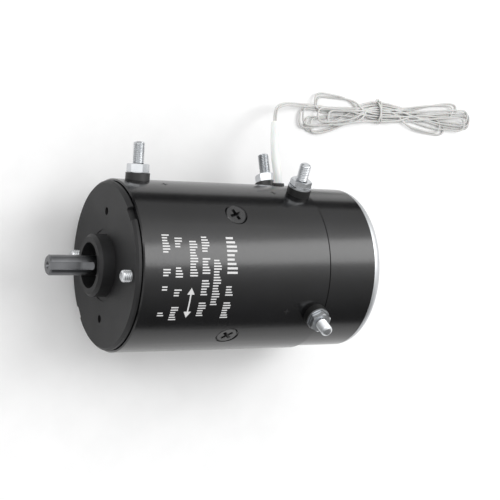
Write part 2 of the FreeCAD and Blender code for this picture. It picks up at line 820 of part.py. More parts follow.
def brush_gear(number):
    """One brush, its box holder and the spring that presses it on the commutator."""
    angle = SIZES["pole_angle"] + 90 * (number - 1)
    centre = SIZES["brush_centre_at"]
    stem = "brush_gear_%d" % number
    place = radial(centre, angle, SIZES["brush_face_radius"] - 4)
    stick = block(stem + "_stick", place, "brush_half_length * 2", "brush_half_width * 2",
                  "brush_back_radius - brush_face_radius + 4")
    face = cylinder(stem + "_face", axial(centre - 12), "brush_face_radius", 24)
    keep(cut(stem + "_brush", stick, [face]), "brush_%d" % number)

    foot = radial(centre, angle, SIZES["holder_foot_radius"])
    outside = block(stem + "_outside", foot,
                    "(brush_half_length + holder_clearance + holder_wall) * 2",
                    "(brush_half_width + holder_clearance + holder_wall) * 2",
                    "holder_top_radius - holder_foot_radius")
    window = block(stem + "_window", foot, "(brush_half_length + holder_clearance) * 2",
                   "(brush_half_width + holder_clearance) * 2",
                   "holder_cap_radius - holder_foot_radius")
    keep(cut(stem + "_box", outside, [window]), "brush_holder_%d" % number)

    low = SIZES["brush_back_radius"] + SIZES["spring_wire_radius"]
    high = SIZES["holder_cap_radius"] - SIZES["spring_wire_radius"]
    coil = bind(document.addObject("Part::Helix", stem + "_coil"), Pitch="spring_pitch",
                Radius="spring_coil_radius")
    coil.Height = high - low
    section = bind(document.addObject("Part::Circle", stem + "_wire"),
                   Radius="spring_wire_radius")
    across = Rotation(Vector(1, 0, 0), 90)
    section.Placement = Placement(Vector(SIZES["spring_coil_radius"], 0, 0), across)
    spring = document.addObject("Part::Sweep", stem + "_spring")
    spring.Sections = [section]
    spring.Spine = (coil, [])
    spring.Solid = True
    spring.Frenet = True
    spring.Placement = radial(centre, angle, low)
    keep(spring, "brush_spring_%d" % number)


def terminal(name, along_x, angle, tip, bush_top, nut_height, has_washer):
    """One threaded terminal: an insulating bush, a stud with an inner head, and its nut."""
    turning = radial_turning(along_x, angle)
    bush = turned("bush_form_" + name, [
        ("bush_foot", "stud_core_radius"),
        ("bush_foot", "bush_foot_radius"),
        ("bush_foot_top", "bush_foot_radius"),
        ("bush_foot_top", "bush_neck_radius"),
        ("frame_radius - 0.8", "bush_neck_radius"),
        ("frame_radius - 0.8", "bush_flange_radius"),
        (bush_top, "bush_flange_radius"),
        (bush_top, "stud_core_radius"),
    ], turning)
    wall = ring("bush_wall_" + name, SIZES["tube_front_at"], "tube_rear_at - tube_front_at",
                "tube_bore", "frame_radius")
    hole = cylinder("bush_hole_" + name, radial(along_x, angle, SIZES["tube_bore"] - 3),
                    "bush_neck_radius", 10)
    keep(cut("bush_" + name, bush, [cut("bush_wall_cut_" + name, wall, [hole])]),
         "terminal_bush_" + name)

    nut_top = bush_top + nut_height + (SIZES["washer_thickness"] if has_washer else 0)
    shank = turned("stud_shank_" + name, [
        ("stud_inner_end", 0),
        ("stud_inner_end", "stud_core_radius"),
        (nut_top, "stud_core_radius"),
        (nut_top, "stud_radius"),
        (tip - 1.0, "stud_radius"),
        (tip - 0.3, "stud_radius - 0.8"),
        (tip, "stud_radius - 1.8"),
        (tip, 0),
    ], turning)
    head = document.addObject("Part::Prism", "stud_head_" + name)
    bind(head, Circumradius="hex_corner_radius", Height="stud_head_height")
    turn = Placement(Vector(), Rotation(Vector(0, 0, 1), 90))
    head.Placement = radial(along_x, angle, SIZES["stud_inner_end"]).multiply(turn)
    keep(fused("stud_" + name, [shank, head]), "terminal_stud_" + name)

    seat = bush_top
    washers = []
    if has_washer:
        washers.append(turned("washer_" + name, [
            (seat, "stud_core_radius"),
            (seat, "washer_radius"),
            (seat + SIZES["washer_thickness"], "washer_radius"),
            (seat + SIZES["washer_thickness"], "stud_core_radius"),
        ], turning))
        seat += SIZES["washer_thickness"]
    hexagon = document.addObject("Part::Prism", "nut_hexagon_" + name)
    bind(hexagon, Circumradius="hex_corner_radius")
    hexagon.Height = nut_height
    hexagon.Placement = radial(along_x, angle, seat).multiply(turn)
    limit = turned("nut_limit_" + name, [
        (seat, "stud_core_radius"),
        (seat, "hex_corner_radius - nut_chamfer"),
        (seat + 0.45, "hex_corner_radius + 0.05"),
        (seat + nut_height - 0.45, "hex_corner_radius + 0.05"),
        (seat + nut_height, "hex_corner_radius - nut_chamfer"),
        (seat + nut_height, "stud_core_radius"),
    ], turning)
    return common("nut_" + name, [hexagon, limit]), washers


def terminals():
    """All four terminals, with their nuts and washers as groups."""
    nuts = []
    washers = []
    for values in TERMINALS:
        nut, rings = terminal(*values)
        nuts.append(nut)
        washers += rings
    for label, pieces in (("terminal_nuts", nuts), ("terminal_washers", washers)):
        group = document.addObject("Part::Compound", label + "_group")
        group.Links = pieces
        keep(group, label)


def thermal_switch():
    """Small sealed switch on the brush plate, which opens when the motor is hot."""
    height = 9.0
    place = radial(SIZES["plate_front_at"] - 2, SIZES["lead_angle"], 40)
    case = block("switch_case", place, 4, 7, height)
    return keep(case, "thermal_switch")


def lead_grommet():
    """Rubber grommet in the tube, around the sleeve."""
    grommet = turned("grommet_form", [
        ("tube_bore - 1.5", "sleeve_radius"),
        ("tube_bore - 1.5", "grommet_neck_radius"),
        ("frame_radius - 0.6", "grommet_neck_radius"),
        ("frame_radius - 0.6", "grommet_radius"),
        ("grommet_top", "grommet_radius - 0.5"),
        ("grommet_top", "sleeve_radius"),
    ], radial_turning(SIZES["lead_at"], SIZES["lead_angle"]))
    wall = ring("grommet_wall", SIZES["tube_front_at"], "tube_rear_at - tube_front_at",
                "tube_bore", "frame_radius")
    hole = cylinder("grommet_hole",
                    radial(SIZES["lead_at"], SIZES["lead_angle"], SIZES["tube_bore"] - 3),
                    "grommet_neck_radius", 10)
    return keep(cut("grommet_cut", grommet, [cut("grommet_wall_cut", wall, [hole])]),
                "lead_grommet")


def route_wire(name, points):
    """Straight runs joined by tangent arcs, each as large as its two runs allow."""
    points = [Vector(*point) for point in points]
    edges = []
    start = points[0]
    tightest = 1e9
    for before, corner, after in zip(points, points[1:], points[2:]):
        incoming = corner - before
        outgoing = after - corner
        half_turn = incoming.getAngle(outgoing) / 2
        reach = 0.45 * min(incoming.Length, outgoing.Length)
        radius = reach / math.tan(half_turn)
        tightest = min(tightest, radius)
        first = corner - incoming.normalize() * reach
        last = corner + outgoing.normalize() * reach
        inward = (outgoing - incoming).normalize()
        middle = corner + inward * (radius / math.cos(half_turn) - radius)
        edges.append(Part.LineSegment(start, first).toShape())
        edges.append(Part.Arc(first, middle, last).toShape())
        start = last
    edges.append(Part.LineSegment(start, points[-1]).toShape())
    wire = Part.Wire(edges)
    print("%s: length %.1f mm, tightest radius %.1f mm" % (name, wire.Length, tightest))
    return wire


def tube_along(name, points, radius):
    """A round solid swept along a route."""
    wire = route_wire(name, points)
    direction = Vector(*points[1]) - Vector(*points[0])
    circle = Part.Wire(Part.makeCircle(radius, Vector(*points[0]), direction))
    solid = wire.makePipeShell([circle], True, False)
    expected = math.pi * radius ** 2 * wire.Length
    print("%s: volume %.1f of %.1f mm3" % (name, solid.Volume, expected))
    return solid


def shape_feature(name, shape):
    """A document object for a shape that no feature makes."""
    item = document.addObject("Part::Feature", name)
    item.Shape = shape
    return item


def beside(points, shift):
    """A route moved sideways, level with the table, at right angles to its own direction."""
    moved = []
    for index, point in enumerate(points):
        before = Vector(*points[max(index - 1, 0)])
        after = Vector(*points[min(index + 1, len(points) - 1)])
        side = (after - before).cross(Vector(0, 0, 1)).normalize()
        moved.append(tuple(Vector(*point) + side * shift))
    return moved


def lead():
    """Sleeve, two wires and the tied hank that the rest of their length is wound into."""
    outer = tube_along("lead_sleeve", SLEEVE_ROUTE, SIZES["sleeve_radius"])
    inner = tube_along("lead_sleeve_bore", SLEEVE_ROUTE, SIZES["sleeve_bore"])
    keep(shape_feature("sleeve_shape", outer.cut(inner)), "lead_sleeve")
    for label, side in (("lead_wire_a", -1), ("lead_wire_b", 1)):
        route = beside(WIRE_ROUTE, side * SIZES["wire_spacing"] / 2)
        keep(shape_feature(label + "_shape", tube_along(label, route, SIZES["wire_radius"])),
             label)
    corners = [Vector(x, y, -SIZES["floor_at"]) for x, y in HANK_OUTLINE]
    curve = Part.BSplineCurve()
    curve.interpolate(corners, PeriodicFlag=True)
    face = Part.Face(Part.Wire([curve.toShape()]))
    hank = face.extrude(Vector(0, 0, SIZES["hank_height"]))
    keep(shape_feature("hank_shape", hank), "lead_hank")
    low, high = TIE_SPAN
    bottom = -SIZES["floor_at"] + SIZES["tie_radius"]
    top = -SIZES["floor_at"] + SIZES["hank_height"]
    loop = Part.makePolygon([
        Vector(TIE_AT, low, bottom),
        Vector(TIE_AT, high, bottom),
        Vector(TIE_AT, high, top),
        Vector(TIE_AT, low, top),
        Vector(TIE_AT, low, bottom),
    ])
    band = Part.Face(loop).extrude(Vector(3.4, 0, 0))
    hollow = Part.makeBox(3.4, high - low - 2 * SIZES["tie_radius"],
                          top - bottom - SIZES["tie_radius"],
                          Vector(TIE_AT, low + SIZES["tie_radius"], bottom + 0.45))
    keep(shape_feature("tie_shape", band.cut(hollow)), "hank_tie")


def build():
    """Make every piece of the motor."""
    body_tube()
    drive_end_shield()
    rear_cover()
    keep(ring("gasket", SIZES["tube_rear_at"], "gasket_thickness", "tube_bore",
              "shield_radius - 0.2"), "cover_gasket")
    through_bolts()
    shaft()
    shaft_seal()
    bearing("front", 8)
    bearing("rear", 8)
    preload_washer()
    for number in range(1, 5):
        pole_and_coil(number)
    pole_screws()
    armature_core()
    armature_winding()
    commutator()
    brush_plate()
    for number in range(1, 5):
        brush_gear(number)
    terminals()
    thermal_switch()
    lead_grommet()
    lead()


def check():
    """Stop if any object failed or any piece's shape is unusable."""
    document.recompute()
    for item in document.Objects:
        if "Invalid" in item.State or "Error" in item.State:
            raise RuntimeError("%s failed: %s" % (item.Name, item.State))
    for item in finished:
        shape = item.Shape
        if shape.isNull() or not shape.isValid() or not shape.Solids:
            raise RuntimeError("%s has no valid solid" % item.Label)
        print("%-26s %d solids, %.0f mm3" % (item.Label, len(shape.Solids), shape.Volume))


def export():
    """Write each piece to a STEP file of its own."""
    os.makedirs("parts", exist_ok=True)
    for item in finished:
        item.Shape.exportStep("parts/%s.step" % item.Label)
    print("%d pieces written" % len(finished))


build()
check()
export()
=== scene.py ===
import json
import math

import bmesh
import bpy
from mathutils import Matrix, Vector


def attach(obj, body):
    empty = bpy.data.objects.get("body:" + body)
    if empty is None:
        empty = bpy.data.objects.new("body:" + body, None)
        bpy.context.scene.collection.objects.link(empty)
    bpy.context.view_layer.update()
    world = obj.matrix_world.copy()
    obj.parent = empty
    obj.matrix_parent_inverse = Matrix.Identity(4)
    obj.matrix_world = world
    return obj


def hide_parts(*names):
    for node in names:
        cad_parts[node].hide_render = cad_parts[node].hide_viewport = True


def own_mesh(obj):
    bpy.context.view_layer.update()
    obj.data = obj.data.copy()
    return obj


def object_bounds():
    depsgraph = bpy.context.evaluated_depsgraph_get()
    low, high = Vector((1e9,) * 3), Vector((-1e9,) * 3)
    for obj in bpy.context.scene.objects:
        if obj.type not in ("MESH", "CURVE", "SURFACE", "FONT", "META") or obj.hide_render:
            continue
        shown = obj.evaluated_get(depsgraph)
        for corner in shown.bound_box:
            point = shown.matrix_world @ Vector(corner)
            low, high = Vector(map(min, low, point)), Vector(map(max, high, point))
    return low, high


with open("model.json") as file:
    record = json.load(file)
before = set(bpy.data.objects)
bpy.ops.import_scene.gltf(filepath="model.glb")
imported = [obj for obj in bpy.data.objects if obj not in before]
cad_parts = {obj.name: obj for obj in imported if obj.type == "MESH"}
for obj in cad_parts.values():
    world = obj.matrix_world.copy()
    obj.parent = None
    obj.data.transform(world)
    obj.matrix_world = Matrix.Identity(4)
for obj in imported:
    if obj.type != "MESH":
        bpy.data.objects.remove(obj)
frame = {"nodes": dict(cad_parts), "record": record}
CAD_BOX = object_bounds()

bl_info = {
    "name": "Direct-current motor",
    "version": (1, 0, 0),
    "blender": (4, 5, 0),
    "location": "3D View > Sidebar > Motor",
    "description": "Finishes, threads, sensor lead and studio for a brushed motor",
    "category": "Object",
}

MM = 0.001
HOUSING = "housing"

# The camera stands over the shaft end and looks down on the motor as it lies on its side.
CAMERA_PLACE = Vector((-0.3053, 0.0, 0.7524))
CAMERA_BACK = Vector((-0.4828, -0.0132, 0.8756))
CAMERA_UP = Vector((-0.0122, 0.9999, 0.0083))

# Each terminal: CAD node, place along X in mm, angle from +Y towards +Z in degrees.
TERMINALS = (
    ("terminal_stud_front", 21.3, 6.2),
    ("terminal_stud_rear_1", 130.3, -13.4),
    ("terminal_stud_rear_2", 132.1, 28.1),
    ("terminal_stud_rear_3", 133.3, 124.0),
)
STUD_TIPS = (82.0, 82.6, 79.0, 77.0)
STUD_FOOT = 43.0
BOLT_CIRCLE = 44.5
BOLT_ANGLES = (98.5, 278.5)
BOLT_TIP_AT = -5.8
BOLT_THREAD_END_AT = 12.0
BOLT_SEAT_AT = 178.5
BOLT_HEAD_HEIGHT = 4.6
BOLT_HEAD_RADIUS = 6.5
BOLT_SHANK_RADIUS = 3.6

# Screws that hold the poles: place along X, first angle, and the head, in mm and degrees.
POLE_SCREW_AT = 74.0
POLE_SCREW_ANGLE = 53.5
POLE_SCREW_HEAD = 7.1
POLE_SCREW_TOP = 56.6
POLE_SCREW_SEAT = 47.0

# The rear cover's turned end is left bare from here.
BARE_RIM_AT = 176.4

# Joint between the tube and the cover, sealed by a ring that stands back from both.
JOINT_SPAN = (139.6, 140.6)

# Route of the two wires through the sleeve and down to the table, in mm.
WIRE_ROUTE = (
    (129.2, 57.6, 4.0),
    (128.7, 66.5, 3.9),
    (128.6, 76.3, 1.6),
    (131.6, 86.4, -4.6),
    (136.2, 95.0, -12.6),
    (140.9, 103.0, -20.6),
    (145.4, 111.2, -28.2),
    (150.8, 117.6, -34.6),
    (160.0, 121.2, -40.4),
    (171.6, 122.4, -46.2),
    (183.0, 123.0, -51.4),
    (194.0, 123.6, -54.6),
)
WIRE_SPACING = 1.7
WIRE_FLOOR = -56.2
TIE_AT = 255.0
TIE_FIRST_STRAND = 115.4
TIE_STRAND_STEP = 1.85
TIE_STRANDS_WIDE = 9

# Folds of each wire in the hank: end along X, lower and upper Y, and how many wires lie below.
RIGHT_FOLDS = (
    ((334.0, 124.5, 134.6, 0), (346.5, 116.5, 127.5, 1), (321.0, 108.3, 118.5, 0),
     (340.0, 112.5, 123.0, 2)),
    ((329.0, 122.5, 132.8, 1), (343.5, 118.5, 129.5, 2), (316.0, 109.8, 120.5, 1),
     (347.0, 114.5, 125.0, 0)),
)
LEFT_FOLDS = (
    ((181.0, 106.5, 121.0, 1), (194.0, 121.5, 133.8, 2), (187.0, 104.0, 115.5, 0),
     (196.0, 111.5, 122.5, 3)),
    ((183.5, 108.5, 123.5, 2), (197.0, 119.5, 131.6, 0), (191.0, 103.0, 114.5, 1),
     (206.0, 110.0, 121.0, 2)),
)
LAST_RUN_END = (296.0, 286.0)

# Printed rating block, words only as rows of strokes: place along X, height of a letter and
# pitch of a stroke in mm, and spans of angle in degrees.
PRINTED_LINES = (
    (65.6, 7.4, 2.8, ((71, 99),)),
    (64.6, 5.4, 1.8, ((103, 112), (114, 127))),
    (55.0, 5.4, 1.8, ((86, 117),)),
    (46.9, 5.4, 1.8, ((71, 82), (85, 96), (99, 111), (114, 126))),
    (38.3, 5.4, 1.8, ((74, 98),)),
    (28.1, 5.0, 1.8, ((72, 81), (91, 99), (105, 112), (117, 128))),
    (19.5, 5.0, 1.8, ((70, 83), (92, 98), (103, 108), (121, 126))),
)
STROKE_HEIGHTS = (1.0, 0.7, 1.0, 0.72, 0.86)
STAMPED_MARKS = ((110.7, 121.5), (112.0, 29.0), (34.4, 20.7))
# Brightness of the glowing half tube over the motor, which paints reflections on the glossy parts,
# by angle from +Y towards +Z, and its greatest value.
REFLECTION_GLOW_LEVELS = ((0, 0.7), (22, 1.0), (38, 1.6), (53, 2.2), (68, 2.2), (82, 1.9), (96, 1.3),
               (111, 0.75), (125, 0.55), (140, 0.35), (156, 0.2), (180, 0.08))
REFLECTION_GLOW_TOP = 2.2
ARROW_AT = 37.5
ARROW_SPAN = (104.0, 125.0)


def linear(code):
    """A linear RGBA colour from an sRGB hex code."""
    parts = [int(code[i:i + 2], 16) / 255 for i in (1, 3, 5)]
    return [c / 12.92 if c <= 0.04045 else ((c + 0.055) / 1.055) ** 2.4 for c in parts] + [1.0]


def add(tree, kind, settings=None, inputs=None):
    """One node with its settings; an input that is a socket is linked, any other is set."""
    item = tree.nodes.new(kind)
    for name, value in (settings or {}).items():
        setattr(item, name, value)
    for name, value in (inputs or {}).items():
        if isinstance(value, bpy.types.NodeSocket):
            tree.links.new(value, item.inputs[name])
        else:
            item.inputs[name].default_value = value
    return item


def outward(angle):
    """Unit vector at an angle about the motor's axis."""
    return Vector((0.0, math.cos(math.radians(angle)), math.sin(math.radians(angle))))


def on_tube(along_x, angle, radius):
    """A point in metres at a place along the motor, an angle and a radius in mm."""
    return Vector((along_x * MM, 0, 0)) + outward(angle) * radius * MM


def new_material(name):
    """An empty node material with its surface shader."""
    material = bpy.data.materials.new(name)
    material.use_nodes = True
    shader = material.node_tree.nodes["Principled BSDF"]
    return material, material.node_tree, shader


def surface(name, low, high, roughness, grain_mm, bump_mm, metallic=0.0, stretch=(1, 1, 1),
            sockets=None, painted_shade_mm=0.0):
    """A finish whose colour, roughness and relief vary with noise of a real grain size, with
    painted shade in its hollows when asked.
    """
    material, tree, shader = new_material(name)
    place = add(tree, "ShaderNodeTexCoord").outputs["Object"]
    mapped = add(tree, "ShaderNodeMapping", inputs={"Vector": place, "Scale": stretch})
    fine = add(tree, "ShaderNodeTexNoise", inputs={
        "Vector": mapped.outputs["Vector"], "Scale": 1 / (grain_mm * MM), "Detail": 3.0})
    broad = add(tree, "ShaderNodeTexNoise", inputs={"Vector": place, "Scale": 45.0, "Detail": 4.0})
    ramp = add(tree, "ShaderNodeValToRGB", inputs={"Fac": broad.outputs["Fac"]})
    ramp.color_ramp.elements[0].position = 0.35
    ramp.color_ramp.elements[1].position = 0.68
    ramp.color_ramp.elements[0].color = linear(low)
    ramp.color_ramp.elements[1].color = linear(high)
    spread = add(tree, "ShaderNodeMapRange", inputs={
        "Value": fine.outputs["Fac"], "From Min": 0.3, "From Max": 0.7,
        "To Min": roughness * 0.86, "To Max": roughness * 1.14})
    bump = add(tree, "ShaderNodeBump", inputs={
        "Height": fine.outputs["Fac"], "Distance": bump_mm * MM, "Strength": 1.0})
    colour = ramp.outputs["Color"]
    if painted_shade_mm:
        # Painted shade: ambient occlusion darkens the colour in grooves and corners of about this
        # width.
        shade_ao = add(tree, "ShaderNodeAmbientOcclusion", {"samples": 8},
                     {"Distance": painted_shade_mm * MM})
        shade_factor = add(tree, "ShaderNodeMapRange", inputs={
            "Value": shade_ao.outputs["AO"], "From Min": 0.35, "From Max": 0.9,
            "To Min": 0.25, "To Max": 1.0})
        colour = add(tree, "ShaderNodeVectorMath", {"operation": "SCALE"},
                     {0: colour, "Scale": shade_factor.outputs["Result"]}).outputs["Vector"]
    tree.links.new(colour, shader.inputs["Base Color"])
    tree.links.new(spread.outputs["Result"], shader.inputs["Roughness"])
    tree.links.new(bump.outputs["Normal"], shader.inputs["Normal"])
    shader.inputs["Metallic"].default_value = metallic
    for socket, value in (sockets or {}).items():
        shader.inputs[socket].default_value = value
    return material


def make_finishes(look):
    """Every finish of the motor, by the record's slot names and a few extra ones."""
    steel_turning = (1.0, 0.05, 0.05)
    return {
        # Stoved black enamel: nearly black, glossy, with a faint orange peel.
        "black_enamel": surface("Stoved black enamel", look.enamel, "#111113", 0.2, 1.6, 0.012),
        # The cast end has a thin flat black wash that hides the casting's grain only partly.
        "cast_wash": surface("Flat black wash on casting", "#1A1A1B", "#242425", 0.5, 0.7, 0.03,
                             sockets={"Specular IOR Level": 0.28}),
        # Turned carbon steel with an oil film: dark grey metal with fine rings.
        "turned_steel": surface("Turned oiled steel", "#5E5F61", "#77787A", 0.33, 0.35, 0.01,
                                metallic=1.0, stretch=steel_turning),
        # Bright zinc plate on screws and nuts: pale, slightly cloudy metal, with painted shade in
        # the thread grooves.
        "bright_zinc": surface("Bright zinc plate", look.zinc, "#DCDEE0", 0.3, 0.5, 0.008,
                               metallic=1.0, painted_shade_mm=1.2),
        "bearing_steel": surface("Ground bearing steel", "#B7B9BC", "#C9CBCD", 0.16, 0.2, 0.002,
                                 metallic=1.0),
        "lamination_steel": surface("Blued electrical steel", "#4C4F55", "#63666C", 0.45, 0.5,
                                    0.02, metallic=1.0, stretch=(6.0, 1.0, 1.0)),
        "spring_steel": surface("Drawn spring steel", "#6A6C70", "#85878A", 0.3, 0.3, 0.004,
                                metallic=1.0),
        "copper": surface("Bare copper", "#B0694A", "#C98563", 0.34, 0.4, 0.01, metallic=1.0),
        "holder_brass": surface("Stamped brass", "#B4934F", "#CBAE6A", 0.34, 0.4, 0.01,
                                metallic=1.0),
        "coil_tape": surface("Varnished glass tape", "#6E4524", "#8F6238", 0.5, 0.8, 0.08),
        # Phenolic moulding: dense black plastic with a low gloss.
        "black_phenolic": surface("Black phenolic moulding", "#0C0C0C", "#161616", 0.42, 0.6,
                                  0.02),
        "brown_laminate": surface("Paper phenolic laminate", "#3B2314", "#54341F", 0.5, 0.5,
                                  0.02),
        "carbon": surface("Pressed carbon", "#1E1E20", "#2B2B2D", 0.55, 0.3, 0.03),
        "black_rubber": surface("Nitrile rubber", "#0B0B0B", "#131313", 0.6, 0.5, 0.02),
        "gasket_fibre": surface("Sealing ring", "#0A0A0A", "#101010", 0.7, 0.4, 0.02),
        # Soft vinyl tube: white with a waxy sheen.
        "white_pvc": surface("White vinyl sleeve", look.sleeve, "#F4F4F2", 0.36, 0.8, 0.01,
                             sockets={"Subsurface Weight": 0.15, "Subsurface Scale": 0.002}),
        # Extruded insulation on a thin stranded wire.
        "white_wire": surface("White wire insulation", look.wire, "#D2D2D0", 0.42, 0.5, 0.012,
                              sockets={"Subsurface Weight": 0.08, "Subsurface Scale": 0.001}),
        "switch_case": surface("Switch moulding", "#1C1C1E", "#262628", 0.45, 0.5, 0.02),
        # Blackened screws: oxide black with a little oil, with painted shade in the recess.
        "screw_black": surface("Black oxide screw", "#141415", "#232325", 0.3, 0.6, 0.02,
                               sockets={"Specular IOR Level": 0.7}, painted_shade_mm=3.0),
        # Screen-printed ink, a little off white and matte.
        "white_ink": surface("Screen-printed white ink", "#C9C9C9", "#DADADA", 0.55, 0.25, 0.004),
    }


def bare_rim(painted):
    """The cover's finish: enamel on its side, bare fine-turned aluminium past the paint's edge."""
    material = painted.copy()
    material.name = "Black enamel with bare aluminium end"
    tree = material.node_tree
    enamel = tree.nodes["Principled BSDF"]
    place = add(tree, "ShaderNodeTexCoord").outputs["Object"]
    along = add(tree, "ShaderNodeSeparateXYZ", inputs={"Vector": place}).outputs["X"]
    past = add(tree, "ShaderNodeMath", {"operation": "GREATER_THAN"},
               {0: along, 1: BARE_RIM_AT * MM}).outputs[0]
    rings = add(tree, "ShaderNodeMapping", inputs={"Vector": place, "Scale": (1.0, 0.05, 0.05)})
    grain = add(tree, "ShaderNodeTexNoise", inputs={
        "Vector": rings.outputs["Vector"], "Scale": 2500.0, "Detail": 2.0})
    spread = add(tree, "ShaderNodeMapRange", inputs={
        "Value": grain.outputs["Fac"], "To Min": 0.38, "To Max": 0.56})
    metal = add(tree, "ShaderNodeBsdfPrincipled", inputs={
        "Base Color": linear("#C3C5C7"), "Metallic": 1.0, "Roughness": spread.outputs["Result"]})
    mixed = add(tree, "ShaderNodeMixShader", inputs={
        0: past, 1: enamel.outputs["BSDF"], 2: metal.outputs["BSDF"]})
    output = tree.nodes["Material Output"]
    tree.links.new(mixed.outputs["Shader"], output.inputs["Surface"])
    return material


FINISHES = {}


def finish_of(slot):
    """The material of a slot, made on first use."""
    if not FINISHES:
        FINISHES.update(make_finishes(bpy.context.scene.motor_look))
        FINISHES["bare_rim"] = bare_rim(FINISHES["black_enamel"])
    return FINISHES[slot]


def finished_piece(name, mesh, slot, body, nodes=(), finish=None):
    """Link a mesh as a piece of the motor, with its material (the slot's finish unless another
    finish is given), body and hidden replaced nodes.
    """
    piece = bpy.data.objects.new(name, mesh)
    bpy.context.scene.collection.objects.link(piece)
    mesh.materials.clear()
    mesh.materials.append(finish_of(finish or slot))
    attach(piece, body)
    if nodes:
        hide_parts(*nodes)
    return piece


class MotorLook(bpy.types.PropertyGroup):
    """Colours of the motor's outer finishes, as sRGB hex codes."""
    enamel: bpy.props.StringProperty(
        name="Enamel", description="Darker tone of the black enamel", default="#0A0A0B")
    zinc: bpy.props.StringProperty(
        name="Zinc", description="Darker tone of the zinc plate", default="#C6C9CC")
    sleeve: bpy.props.StringProperty(
        name="Sleeve", description="Darker tone of the lead's sleeve", default="#EBEBE9")
    wire: bpy.props.StringProperty(
        name="Wire", description="Darker tone of the wires", default="#BEBEBC")


class MotorThread(bpy.types.PropertyGroup):
    """Thread of the terminals and through bolts."""
    radius: bpy.props.FloatProperty(
        name="Radius", description="Outer radius of the thread", default=3.97 * MM,
        subtype="DISTANCE")
    pitch: bpy.props.FloatProperty(
        name="Pitch", description="Distance from crest to crest", default=1.25 * MM,
        subtype="DISTANCE")
    depth: bpy.props.FloatProperty(
        name="Depth", description="Depth of the groove", default=0.74 * MM, subtype="DISTANCE")
    chamfer: bpy.props.FloatProperty(
        name="Tip", description="Length and depth of the tip's rounding", default=1.5 * MM,
        subtype="DISTANCE")


class MotorLead(bpy.types.PropertyGroup):
    """The two thin wires of the thermal switch."""
    length: bpy.props.FloatProperty(
        name="Length", description="Length of each wire", default=1.5, subtype="DISTANCE")
    diameter: bpy.props.FloatProperty(
        name="Diameter", description="Diameter over the insulation", default=1.5 * MM,
        subtype="DISTANCE")


class MotorStage(bpy.types.PropertyGroup):
    """Floor, lamps and surroundings."""
    floor: bpy.props.StringProperty(
        name="Floor", description="Colour of the floor", default="#F7F7F7")
    softbox: bpy.props.FloatProperty(
        name="Softbox", description="Power of the large lamp", default=11.0, unit="POWER")
    surroundings: bpy.props.FloatProperty(
        name="Surroundings", description="Brightness of the room", default=0.8)


class MOTOR_OT_camera(bpy.types.Operator):
    """Place the camera over the shaft end"""
    bl_idname = "motor.camera"
    bl_label = "Camera"

    def execute(self, context):
        camera = bpy.data.objects.new("camera", bpy.data.cameras.new("camera"))
        context.scene.collection.objects.link(camera)
        camera.data.sensor_width = 36.0
        camera.data.lens = 88.9
        camera.data.clip_start = 0.01
        right = CAMERA_UP.cross(CAMERA_BACK).normalized()
        back = CAMERA_BACK.normalized()
        turn = Matrix((right, back.cross(right), back)).transposed()
        camera.matrix_world = Matrix.Translation(CAMERA_PLACE) @ turn.to_4x4()
        context.scene.camera = camera
        return {"FINISHED"}


def beside(points, shift):
    """A route moved sideways, level with the table, at right angles to its direction."""
    moved = []
    for i, point in enumerate(points):
        ahead = Vector(points[min(i + 1, len(points) - 1)]) - Vector(points[max(i - 1, 0)])
        side = ahead.cross(Vector((0, 0, 1))).normalized()
        moved.append(Vector(point) + side * shift)
    return moved


def layer(number):
    """Height in mm of a wire that lies on a number of others."""
    return WIRE_FLOOR + 1.45 * number


def hank_points(wire):
    """Folds of one wire in the tied hank, from the end of its route, in mm."""
    points = []
    order = 0
    level = 0
    for right, left in zip(RIGHT_FOLDS[wire], LEFT_FOLDS[wire]):
        for side, fold in ((1, right), (-1, left)):
            end, low, high, below = fold
            enter, leave = (high, low) if side > 0 else (low, high)
            slot = (order * 4 + wire * 2 + 3) % TIE_STRANDS_WIDE
            level = (order + wire) % 3
            tie_y = TIE_FIRST_STRAND + TIE_STRAND_STEP * slot
            points.append((TIE_AT - side * 14, tie_y, layer(level)))
            points.append((TIE_AT + side * 12, tie_y, layer(level)))
            points.append((end - side * 34, (2 * enter + tie_y) / 3, layer(below)))
            points.append((end - side * 12, enter, layer(below)))
            points.append((end - side * 1.5, enter, layer(below)))
            points.append((end - side * 0.5, (enter + leave) / 2, layer(below) + 0.4))
            points.append((end - side * 2.5, leave, layer(below)))
            points.append((end - side * 13, leave, layer(below)))
            points.append((end - side * 36, (2 * leave + tie_y) / 3, layer(level)))
            order += 1
    tie_y = TIE_FIRST_STRAND + TIE_STRAND_STEP * (4 + wire)
    points.append((TIE_AT - 14, tie_y, layer(2)))
    points.append((TIE_AT + 12, tie_y, layer(2)))
    points.append((LAST_RUN_END[wire], tie_y + 2.0, layer(1)))
    return [Vector(point) for point in points]


def spline_piece(name, points, radius, cyclic=False):
    """A curve object of one NURBS spline through control points in mm, with a round section."""
    curve = bpy.data.curves.new(name, "CURVE")
    curve.dimensions = "3D"
    curve.resolution_u = 6
    curve.bevel_depth = radius
    curve.bevel_resolution = 3
    curve.use_fill_caps = True
    spline = curve.splines.new("NURBS")
    spline.points.add(len(points) - 1)
    for target, point in zip(spline.points, points):
        target.co = (*(Vector(point) * MM), 1.0)
    spline.use_cyclic_u = cyclic
    spline.order_u = 3
    spline.use_endpoint_u = not cyclic
    piece = bpy.data.objects.new(name, curve)
    bpy.context.scene.collection.objects.link(piece)
    return piece


